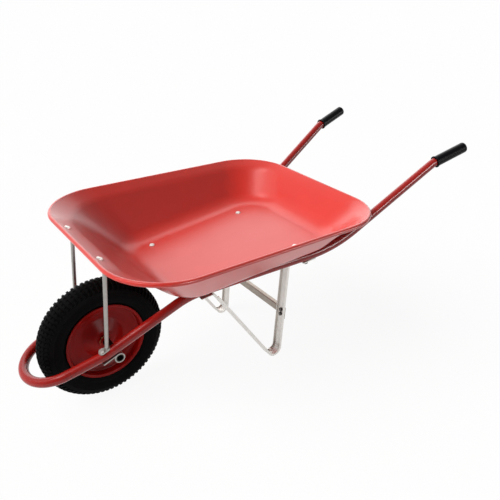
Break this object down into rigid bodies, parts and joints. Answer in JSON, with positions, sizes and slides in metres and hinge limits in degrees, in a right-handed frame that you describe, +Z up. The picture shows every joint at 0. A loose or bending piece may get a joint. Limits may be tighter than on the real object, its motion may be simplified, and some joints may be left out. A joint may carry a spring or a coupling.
{
  "type": "wheelbarrow",
  "caption": "Builder's wheelbarrow: pressed steel tray on a bent tube frame with a front hoop, plated V legs and stays, black grips and a pneumatic wheel that spins.",
  "frame": {"origin": "on the ground, midway along the length between the front of the hoop and the ends of the grips, on the middle plane", "axes": "+X forward towards the wheel, +Y to the left of a person pushing, +Z up"},
  "size_m": [1.3026, 0.6514, 0.5745],
  "materials": {
    "tray_paint": "glossy red powder coat on pressed steel",
    "frame_paint": "glossy red powder coat on steel tube",
    "rim_paint": "glossy red paint on pressed steel",
    "zinc": "bright zinc plate",
    "dark_steel": "black oxide steel",
    "tyre_rubber": "black tyre rubber",
    "tube_rubber": "soft black rubber",
    "grip_plastic": "black moulded grip",
    "bush_nylon": "tan nylon",
    "valve_brass": "plain brass",
    "cap_plastic": "black plastic"
  },
  "bodies": {
    "barrow": {"front_hoop": "frame_paint", "left_side_tube": "frame_paint", "right_side_tube": "frame_paint", "left_grip": "grip_plastic", "right_grip": "grip_plastic", "tray": "tray_paint", "left_stay": "zinc", "right_stay": "zinc", "left_leg": "zinc", "right_leg": "zinc", "leg_brace": "zinc", "tray_strap": "zinc", "left_axle_bracket": "zinc", "right_axle_bracket": "zinc", "axle": "dark_steel", "axle_washers": "dark_steel", "axle_pins": "dark_steel", "front_floor_bolts": "zinc", "rear_floor_bolts": "zinc", "floor_nuts": "dark_steel", "wall_bolts": "zinc", "wall_nuts": "dark_steel", "bracket_bolts": "zinc", "bracket_nuts": "dark_steel", "strap_screws": "dark_steel", "brace_bolts": "zinc", "brace_nuts": "dark_steel"},
    "wheel": {"tyre": "tyre_rubber", "inner_tube": "tube_rubber", "left_rim": "rim_paint", "right_rim": "rim_paint", "hub": "rim_paint", "left_bush": "bush_nylon", "right_bush": "bush_nylon", "valve_stem": "valve_brass", "valve_cap": "cap_plastic"}
  },
  "joints": [
    {"name": "wheel_spin", "type": "hinge", "parent": "barrow", "child": "wheel", "pos_m": [0.43163, 0, 0.172], "axis": [0, 1, 0], "continuous": true}
  ]
}
